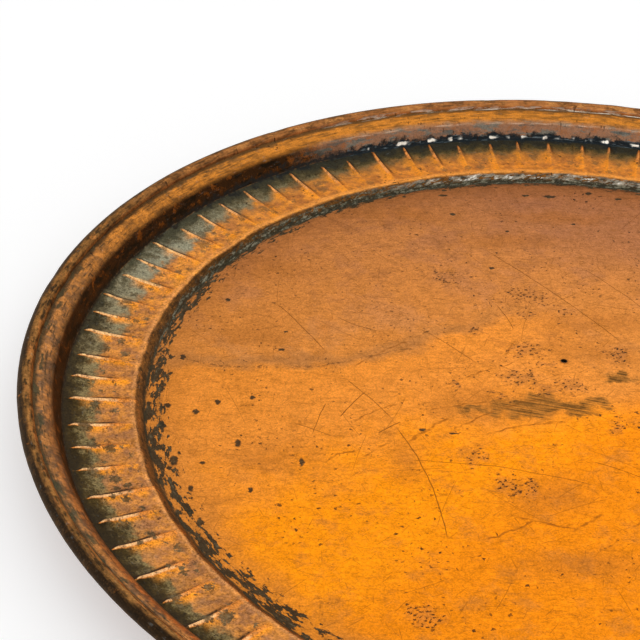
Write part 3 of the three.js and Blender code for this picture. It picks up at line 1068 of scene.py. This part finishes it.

# %% [markdown]
# ### Light and wear on the creases
#
# The creases stand highest, so cloths have rubbed them bright. Over that they carry painted light: a
# cream highlight where they stand tallest, a painted gleam on the gentle flank, a painted shadow below
# the steep flank, and a painted highlight on the crest of the step. The mesh keeps at each vertex how
# near its crease is and how tall, and these coats go by those numbers. So they follow every crease
# exactly, and the shader needs no second copy of the formula for the flutes.

# %% Painted light and wear on the creases
def light_and_wear_on_creases(coats, here):
    """Bright metal along each crease, worn and partly painted light, with a painted cream highlight where
    it stands tallest and orange farther in, a painted warm gleam beside its inner end, and a painted
    shadow at the foot of the steep flank. Some are broken by a burnt patch. The crest of the step gets a
    painted highlight."""
    along, away, far = here.along, here.from_crease, here.far
    stray = here.place.jitter(2.6, 0.5, detail=5.0)
    rise = here.crease_rise + stray
    left = here.crease_left + stray * 0.6
    steep = here.flute_side.between(0.02, -0.06)
    # A warm gleam on the gentle flank near the inner end: painted light where the flank faces the lamp.
    glow = away.between(9.0, 1.5) * steep.blend(1.0, 0.25)
    glow = glow * along.between(CREST_MARK + 1.0, CREST_MARK + 6.0)
    glow = glow * along.between(FOOT_MARK - 9.0, FOOT_MARK - 19.0)
    glow = glow * here.cloud.between(0.6, 0.46) * far.blend(1.0, 0.6)
    coats.lay(glow, "#FA9A24", 0.9, dullness=0.0)
    # The dark line at the foot of the steep flank: painted shadow of the crease.
    flank_shadow = away.bell(2.0, 2.0) * steep * rise.between(0.2, 0.5)
    coats.lay(flank_shadow, "#2C1B0D", far.blend(1.0, 0.6), dullness=0.8)
    # Orange along each crease: wear, and partly painted light on its lit flank.
    ridge = left.between(far.blend(0.42, 0.4), far.blend(0.64, 0.85))
    ridge = ridge * rise.between(far.blend(0.02, 0.15), far.blend(0.24, 0.6))
    coats.lay(ridge, far.ramp("#E08A3C", "#EC9440", "#DC843A"), 0.9, dullness=0.0)
    # Cream where the crease stands tallest: painted highlight.
    pale = left.between(0.56, 0.76) * rise.between(0.3, 0.54)
    coats.lay(pale, far.ramp("#F6BE84", "#FCC484", "#E6924A"), 0.9, dullness=0.0)
    broken = left.between(0.1, 0.3) * here.lichen.between(0.56, 0.62)
    coats.lay(broken * rise.between(0.1, 0.3), "#4A2F1C", 0.85, dullness=0.6)
    # A light band along the crest of the step: painted highlight.
    crest = along + here.rag.jitter(3.0, 3.0)
    crest = crest.bell(far.blend(CREST_MARK + 1.2, CREST_MARK + 2.4), far.blend(1.8, 4.0))
    crest = crest * here.band.between(0.34, 0.52)
    coats.lay(crest, far.ramp("#E29C5C", "#F8A64C"), far.blend(0.55, 0.85), dullness=0.0)

# %% [markdown]
# ### Marks of use
#
# Most marks are scattered by the shared effects. A few are so plain on this tray that they are listed one
# by one, in millimetres from the middle of the floor: burnt spots, knots of pits, smears and hazy
# patches, each with its centre and its half width and height, and soft strokes, long scratches and the
# edge of the dried puddle, each with two ends, a width and a bow.

# %% Marks listed one by one
BURNT_SPOTS = [
    (-256, -64, 2.9, 6.0), (-219, -47, 2.3, 4.0), (-239, -118, 2.6, 4.6), (-245, -17, 2.3, 3.2),
    (-262, -11, 2.6, 2.8), (-232, -7, 1.8, 3.6), (-245, -89, 1.9, 3.0), (-265, -30, 1.9, 4.6),
    (-182, -64, 1.9, 4.6), (-255, 40, 2.2, 3.8), (-239, -66, 1.8, 2.4), (-109, -32, 2.8, 1.8),
    (-193, 50, 2.4, 1.8), (-211, -90, 1.7, 3.0), (-67, 226, 2.6, 2.2), (-258, -71, 1.8, 2.4),
    (59, 253, 3.2, 2.2), (-211, -2, 2.4, 2.0), (38, 261, 3.0, 2.9), (-228, 107, 1.9, 2.4),
    (-244, -109, 1.5, 2.4), (-47, 153, 2.0, 2.0), (-84, 15, 1.8, 1.6), (-253, -57, 1.5, 2.0),
    (-10, 256, 3.2, 2.0), (8, 255, 6.0, 2.4), (-72, 254, 4.0, 1.8), (-91, -35, 3.0, 1.6),
    (-190, 70, 2.0, 1.2), (20, 215, 2.2, 1.8), (128, 96, 2.6, 3.0), (150, -60, 2.4, 3.8),
    (176, 120, 3.0, 2.6), (96, -190, 3.0, 3.4), (-60, -236, 3.2, 2.8), (-30, 203, 1.8, 1.4),
]
PIT_KNOTS = [
    (-37, 54, 14, 12), (-44, 24, 17, 11), (-29, 11, 10, 9), (-12, 14, 13, 12), (24, 48, 9, 12),
    (-81, -59, 9, 16), (-64, -82, 10, 14), (-50, -86, 8, 14), (-65, 77, 9, 7), (-29, 95, 8, 8),
    (-4, 99, 8, 7), (-92, -34, 6, 4), (9, -26, 7, 12), (-78, 140, 12, 12), (-26, 118, 20, 12),
    (-83, 14, 6, 4), (-60, 4, 5, 5), (-24, 38, 8, 6), (70, -80, 12, 16), (110, 30, 14, 9),
    (40, -150, 16, 10), (-120, -190, 12, 12),
]
SMEARS = [
    (-34, -2, 26, 13), (-46, -10, 34, 15), (0, -2, 19, 8), (20, 24, 22, 8), (-70, -12, 24, 7),
    (70, -44, 30, 9), (-18, -8, 30, 12),
]
HAZE = [
    (-44, -92, 46, 32), (-60, -6, 70, 30), (-200, -60, 40, 26), (-98, 224, 60, 20), (-210, 66, 44, 26),
    (-120, -60, 24, 30), (10, 52, 60, 26), (-30, 190, 70, 16), (-200, 150, 40, 30), (10, 225, 80, 12),
    (14, 86, 60, 22), (-30, -150, 60, 20),
]
SOFT_STROKES = [
    (-92, -33, -30, 2, 0.9, 4.0), (-92, 13, -44, 40, 0.9, 1.0), (-118, -44, -92, -20, 1.4, 1.0),
    (-170, -66, -149, -52, 1.1, 2.4), (-66, -108, -30, -120, 1.2, -1.6), (-34, -124, -12, -108, 1.2, 1.2),
    (-146, -58, -129, -43, 1.2, -0.8), (-82, -130, -52, -114, 1.0, -0.6), (-52, 40, -40, 66, 1.1, 0.6),
    (-72, -36, -20, -22, 1.2, 3.0), (0, -120, 26, -104, 1.2, 1.0), (-150, -24, -122, -6, 1.0, 1.0),
    (-106, -14, -60, -2, 0.7, 2.0), (-150, 30, -110, 62, 0.9, 2.0),
]
LONG_SCRATCHES = [
    (-196, 104, -165, 49, 0.35, 1.0), (-156, 89, -129, 72, 0.3, -1.5), (-152, 18, -128, -19, 0.35, 0.8),
    (-158, -21, -141, 6, 0.4, 1.0), (-175, -38, -166, -6, 0.3, 0.5), (-186, -27, -163, -39, 0.3, 0.4),
    (-136, -36, -122, -25, 0.5, 0.8), (-49, 106, -41, 77, 0.3, 0.8),
    (-103, 77, -70, 38, 0.3, 1.6), (-125, -29, -103, -131, 0.45, 5.0),
    (-121, -61, -12, -83, 0.3, 5.0), (-49, 177, 29, 62, 0.35, 3.0), (18, 153, 70, 60, 0.3, 4.0),
    (40, -60, 160, -150, 0.35, -6.0), (80, 140, 190, 90, 0.35, 5.0), (-12, -60, 30, -84, 0.3, 1.0),
]
TIDE_LINE = [
    (-256, 40, -227, 30, 1.2, -1.0), (-229, 31, -164, 33, 1.4, -1.6), (-166, 34, -118, 52, 1.1, -1.6),
    (-120, 51, -92, 54, 1.0, 1.0),
]
BY_HAND = (BURNT_SPOTS, PIT_KNOTS, SMEARS, HAZE, SOFT_STROKES, LONG_SCRATCHES, TIDE_LINE)
print("marks laid by hand:", sum(map(len, BY_HAND)))


# %% Marks of use
def pit_all_over(coats, here, others=0.0):
    """Lone pits and tiny specks, in crowds. The mask of all pits is given back for the bump."""
    lone = here.ragged.through(SPECKS, Size=2.4, Spacing=11.0, Share=0.4)
    tiny = here.ragged.through(SPECKS, Size=1.5, Spacing=4.6, Share=0.4)
    crowd = here.place.noise(45.0, detail=4.0).between(0.4, 0.6)
    pits = others | (lone | tiny * 0.75) * crowd
    coats.lay(pits, "#2B1B0C", 0.85, dullness=0.8)
    return pits


def shade_all_over(coats, here, strength, other=1.0):
    """Fine light and dark of three sizes over all the colours, and over those another shade."""
    shade = other
    for size, amount in ((1.0, 1.2), (2.8, 0.6), (11.0, 0.4)):
        shade = shade + here.place.jitter(size, strength * amount, detail=5.0)
    coats.colour = coats.colour.scaled(shade)


def mark_border(coats, here):
    """Burnt specks of two sizes on the inner part of the flutes."""
    along, far = here.along, here.far
    burnt = here.flat.through(SPECKS, Size=10.0, Spacing=14.0, Share=0.62)
    small = here.ragged.through(SPECKS, Size=4.6, Spacing=8.0, Share=0.34)
    burnt = (burnt | small) * along.between(CREST_MARK + 2.0, CREST_MARK + 8.0)
    burnt = burnt * along.between(FOOT_MARK - 5.0, FOOT_MARK - 12.0) * far.blend(1.0, 0.5)
    tone = here.lichen.between(0.42, 0.6).mix("#4E3F24", "#7C6C4C")
    coats.lay(burnt, tone, 0.82, dullness=0.9)


def mark_floor(coats, here):
    """Burnt spots, the smear with its drawn lines, strokes and scratches, the edge of the dried
    puddle, and knots of pits. The masks of pits and scratches are given back for the bump."""
    flat, ragged, lichen = here.flat, here.ragged, here.lichen
    burnt = spots(ragged, BURNT_SPOTS, soft=0.4) * here.grain.between(0.2, 0.34)
    tone = lichen.between(0.5, 0.66).mix("#2A2416", "#5A5238")
    coats.lay(burnt, tone, 0.92, dullness=0.9)
    smear = spots(swayed(flat, 12.0, 28.0), SMEARS, soft=1.0)
    drawn = combine(here.x * 0.045, here.x * 0.27 + here.y)
    lines = drawn.noise(1.7, detail=4.0, roughness=0.75)
    film = smear.between(0.0, 0.7) * lines.between(0.4, 0.52).blend(0.5, 1.0)
    coats.lay(film, "#92622C", 0.8, dullness=0.1)
    rubs = smear.between(0.12, 0.85) * lines.between(0.48, 0.6)
    coats.lay(rubs, "#4A3010", 0.85, dullness=0.3)
    soft = strokes(swayed(flat, 9.0, 5.0), SOFT_STROKES)
    coats.lay(soft * here.mottle.between(0.34, 0.6), "#8A4C18", 0.7)
    long = strokes(swayed(flat, 24.0, 2.4), LONG_SCRATCHES)
    middling = flat.through(SCRATCHES, Spacing=46.0, Length=56.0, Width=0.35, Share=0.6)
    short = flat.through(SCRATCHES, Spacing=13.0, Length=14.0, Width=0.35, Share=0.6)
    hair = flat.through(SCRATCHES, Spacing=6.0, Length=8.0, Width=0.25, Share=0.8)
    scratches = long | middling * 0.55 | short * 0.5 | hair * 0.4
    scratches = scratches * here.grain.between(0.24, 0.5) * here.along.between(0.0, -6.0)
    coats.lay(scratches, "#6E3F16", 0.85)
    tide = strokes(ragged, TIDE_LINE) * here.band.between(0.46, 0.6)
    coats.lay(tide, "#6B4322", 0.7, dullness=0.4)
    x, y, _ = ragged.split()
    dashes = combine(x * 0.4 + y * 0.3, y * 0.8 - x * 0.5)
    fine = dashes.through(SPECKS, Size=1.5, Spacing=2.0, Share=0.74)
    knots = spots(swayed(flat, 7.0, 22.0), PIT_KNOTS, soft=1.0)
    coats.lay(knots, "#A5693C", 0.4, dullness=0.2)
    knots = fine * knots.between(0.02, 0.3)
    return knots, scratches

# %% [markdown]
# ### The two upper finishes
#
# The coats are laid in the order in which the metal got them. The dirt and the pits are also a bump,
# since a stain that is only a colour looks printed. It is a very low one, because the creases and
# the waver are in the mesh already.

# %% Put the upper finish together
BUMP_STRENGTH = 0.6
GLINT_TINT = (1.0, 0.72, 0.5, 1.0)
DULL_METAL = 0.15  # how metallic the dullest coat still is


def new_material(name):
    """A material with an empty surface, which is given back too."""
    material = bpy.data.materials.new(name)
    material.use_nodes = True
    material.node_tree.nodes.clear()
    surface = new_node(material.node_tree, "ShaderNodeBsdfPrincipled")
    new_node(material.node_tree, "ShaderNodeOutputMaterial", Value(surface.outputs[0]))
    return material, surface


def plug_finish(surface, coats, height, depth, roughness):
    """Colour and dullness of the coats, and a bump whose height is in units of depth."""
    named = {"Height": height, "Strength": BUMP_STRENGTH, "Distance": depth * MM}
    sockets = {
        "Base Color": coats.colour,
        "Metallic": coats.dullness.blend(1.0, DULL_METAL),
        "Roughness": coats.dullness.blend(*roughness),
        "Normal": put("ShaderNodeBump", named=named),
        "Specular IOR Level": 0.2,
        "Specular Tint": GLINT_TINT,
    }
    for name, value in sockets.items():
        plug(surface.inputs[name], value)


def finish_upper_face(surface, coats, here, pits, other):
    """The bump that both upper finishes have, each with one mask of its own, and their gloss."""
    height = here.grain * 0.35 + here.mottle * 0.8 - pits * 0.9 + other
    gloss = here.place.jitter(2.0, 0.3) + 0.38
    plug_finish(surface, coats, height, 0.4, (gloss, 0.68))


def make_floor_finish():
    material, surface = new_material("worn_copper")
    here = survey(material.node_tree)
    coats = floor_metal(here)
    cover_step(coats, here)
    knots, scratches = mark_floor(coats, here)
    pits = pit_all_over(coats, here, knots)
    # A dark ring round the pin hole: painted shade, so that the hole looks black.
    hole = here.flat.minus((PIN_HOLE["x"], PIN_HOLE["y"], 0.0))
    near = hole.length().between(PIN_HOLE["radius"] + 1.0, PIN_HOLE["radius"] + 0.2)
    coats.lay(near, "#120D08", dullness=1.0)
    shade_all_over(coats, here, 1.1, here.rubbed.blend(1.25, 0.75))
    finish_upper_face(surface, coats, here, pits, scratches * -0.5)
    return material


def make_border_finish():
    material, surface = new_material("browned_copper")
    here = survey(material.node_tree)
    coats = brown_the_border(here)
    cover_step(coats, here)
    crust = corrode(coats, here)
    paint_far_wall_highlights(coats, here)
    light_and_wear_on_creases(coats, here)
    mark_border(coats, here)
    pits = pit_all_over(coats, here)
    shade_all_over(coats, here, here.y.between(130.0, 260.0).blend(2.1, 1.0))
    finish_upper_face(surface, coats, here, pits, crust * here.lichen * 0.9)
    return material


FLOOR_FINISH, BORDER_FINISH = make_floor_finish(), make_border_finish()
counts = [len(material.node_tree.nodes) for material in (FLOOR_FINISH, BORDER_FINISH)]
print("nodes in the upper finishes:", counts)

# %% [markdown]
# ## The underside and the wire
#
# The underside was never rubbed: it is brown all over, blackened in blotches where it stood over
# heat, with grey smears and a few bright scratches from being slid about. The wire shows only at the
# gap where its ends meet, and is dark scale with rust.

# %% Underside
def make_under_finish():
    material, surface = new_material("unrubbed_copper")
    place, streak = round_the_tray(material.node_tree, flag(material.node_tree, "along"), 9.0)
    mottle = place.noise(26.0, detail=6.0, roughness=0.65)
    coats = Coats(mottle.between(0.3, 0.7).ramp("#A0622F", "#8A4F26", "#6A3D1C"), 0.1)
    black = place.through(BLOTCHES, Size=60.0, Low=0.5, High=0.64)
    coats.lay(black, "#3B2716", 0.8, dullness=0.7)
    smear = streak.through(BLOTCHES, Size=9.0, Low=0.56, High=0.68)
    coats.lay(smear, "#6A6352", 0.5, dullness=0.6)
    pits = place.through(SPECKS, Size=3.0, Spacing=12.0, Share=0.3)
    coats.lay(pits, "#1B1712", 0.7, dullness=0.8)
    lines = place.through(SCRATCHES, Spacing=34.0, Length=40.0, Width=0.35, Share=0.7)
    coats.lay(lines, "#D98A4A", 0.6, dullness=0.0)
    grain = place.noise(1.4, detail=3.0)
    plug_finish(surface, coats, grain + mottle - lines * 0.6, 0.4, (0.42, 0.7))
    return material


# %% Iron wire
def make_wire_finish():
    material, surface = new_material("iron_wire")
    place, _ = round_the_tray(material.node_tree, 0.0, 4.0)
    coats = Coats("#4A4541", 0.2)
    coats.lay(place.through(BLOTCHES, Size=6.0, Low=0.46, High=0.6), "#6B3F22", dullness=0.9)
    plug_finish(surface, coats, place.noise(0.8, detail=3.0), 0.2, (0.5, 0.85))
    return material


UNDER, WIRE = make_under_finish(), make_wire_finish()

# %% [markdown]
# The two upper finishes meet on the step, so the upper faces take one or the other by how far along
# the section they lie. The upper face ends at the raw edge under the roll: faces that belong to the
# lower rows get the third slot, with the finish of the underside.

# %% Give the faces their finish
SEAM = 4.0  # where the two upper finishes meet, half way up the step
for material in (FLOOR_FINISH, BORDER_FINISH, UNDER):
    sheet.data.materials.append(material)
corner_vertex = np.zeros(len(sheet.data.loops), int)
sheet.data.loops.foreach_get("vertex_index", corner_vertex)
loop_start = np.zeros(len(sheet.data.polygons), int)
sheet.data.polygons.foreach_get("loop_start", loop_start)
outermost = np.maximum.reduceat(flags["along"][corner_vertex], loop_start)
is_under = flags["under"][corner_vertex[loop_start]] > 0.5
slots = np.where(is_under, 2, (outermost > SEAM).astype(int))
sheet.data.polygons.foreach_set("material_index", slots)
sheet.data.update()
print("faces of floor, border and underside:", np.bincount(slots))

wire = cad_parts["rim_wire"]
wire.data.materials.clear()
wire.data.materials.append(WIRE)

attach(sheet, "root")
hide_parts("tray_sheet")

# %% [markdown]
# ## Floor, light and camera
#
# The picture has a plain white ground. The floor is a large plane, white to the camera, which still
# takes the tray's shadow. The light is a white surround with two large soft lamps, as in a studio,
# and their level is low enough that a colour looks about as it is written.

# %% Floor
FLOOR_HALF = 6.0
FLOOR_LEVEL = -0.0002
FLOOR_GLOW = 0.32
WHITE = (1.0, 1.0, 1.0, 1.0)


def seen_directly(tree):
    """1 for a ray from the camera, also after a mirror or a glass, and 0 for one that lights."""
    rays = new_node(tree, "ShaderNodeLightPath").outputs
    kinds = ("Camera", "Glossy", "Transmission")
    camera, mirrored, passed = (Value(rays[f"Is {kind} Ray"]) for kind in kinds)
    return camera | mirrored | passed


def make_floor():
    """A plane just under the tray. Outside the tray it glows a little to the camera, so that it is white
    there and still takes the shadow. Under the middle of the tray it is painted dark as shade, so that
    the pin hole shows black."""
    signs = ((-1, -1), (1, -1), (1, 1), (-1, 1))
    corners = [(x * FLOOR_HALF, y * FLOOR_HALF, FLOOR_LEVEL) for x, y in signs]
    mesh = bpy.data.meshes.new("floor")
    mesh.from_pydata(corners, [], [(0, 1, 2, 3)])
    floor = bpy.data.objects.new("floor", mesh)
    bpy.context.scene.collection.objects.link(floor)
    material, surface = new_material("pale_floor")
    seen = seen_directly(material.node_tree)
    from_axis = object_place(material.node_tree).length()
    sockets = {
        "Roughness": 0.9,
        # Near black under the middle of the tray: painted shade, so that the pin hole shows black.
        "Base Color": from_axis.between(0.1, 0.25).ramp("#141210", "#F1F1F1"),
        "Emission Color": WHITE,
        "Emission Strength": seen * FLOOR_GLOW * from_axis.between(0.25, 0.33),
    }
    for name, value in sockets.items():
        plug(surface.inputs[name], value)
    floor.data.materials.append(material)


make_floor()


# %% Surround
def make_surround(level):
    """White all round: full to the camera, and at the given level as light."""
    world = bpy.data.worlds.new("studio")
    bpy.context.scene.world = world
    world.use_nodes = True
    tree = world.node_tree
    tree.nodes.clear()
    white = new_node(tree, "ShaderNodeBackground", WHITE, seen_directly(tree).blend(level, 1.0))
    new_node(tree, "ShaderNodeOutputWorld", Value(white.outputs[0]))


make_surround(level=0.7)


# %% Lamps
def add_lamp(name, place, size, watts):
    lamp = bpy.data.lights.new(name, "AREA")
    lamp.shape = "DISK"
    lamp.size = size
    lamp.energy = watts
    thing = bpy.data.objects.new(name, lamp)
    bpy.context.scene.collection.objects.link(thing)
    thing.location = place
    thing.rotation_euler = (-Vector(place)).to_track_quat("-Z", "Y").to_euler()


add_lamp("key", (-0.7, -1.5, 1.5), size=0.7, watts=5.0)
add_lamp("back", (0.6, 1.7, 1.3), size=1.2, watts=1.5)

# %% [markdown]
# ## Camera
#
# The camera's place was worked out from the picture: the tray's circles and creases fix where it
# stood, in tray radii, and how long its lens was. It leans a little to one side.

# %% Camera
CAMERA_PLACE = (-211.2, -810.8, 598.3)  # millimetres from the tray's origin
CAMERA_RIGHT, CAMERA_UP = (0.9991, -0.0249, 0.0358), (-0.0159, 0.5551, 0.8316)
FOCAL_PIXELS, PICTURE_WIDTH = 1645.0, 640.0


def make_camera():
    camera = bpy.data.cameras.new("camera")
    camera.sensor_width = 36.0
    camera.lens = FOCAL_PIXELS / PICTURE_WIDTH * camera.sensor_width
    camera.clip_end = 50.0
    thing = bpy.data.objects.new("camera", camera)
    bpy.context.scene.collection.objects.link(thing)
    right = Vector(CAMERA_RIGHT).normalized()
    back = right.cross(Vector(CAMERA_UP)).normalized()
    turn = Matrix((right, back.cross(right), back)).transposed()
    thing.matrix_world = Matrix.Translation(Vector(CAMERA_PLACE) * MM) @ turn.to_4x4()
    bpy.context.scene.camera = thing
    print(f"lens {camera.lens:.1f} mm")


make_camera()
bpy.context.scene.view_settings.view_transform = "Standard"
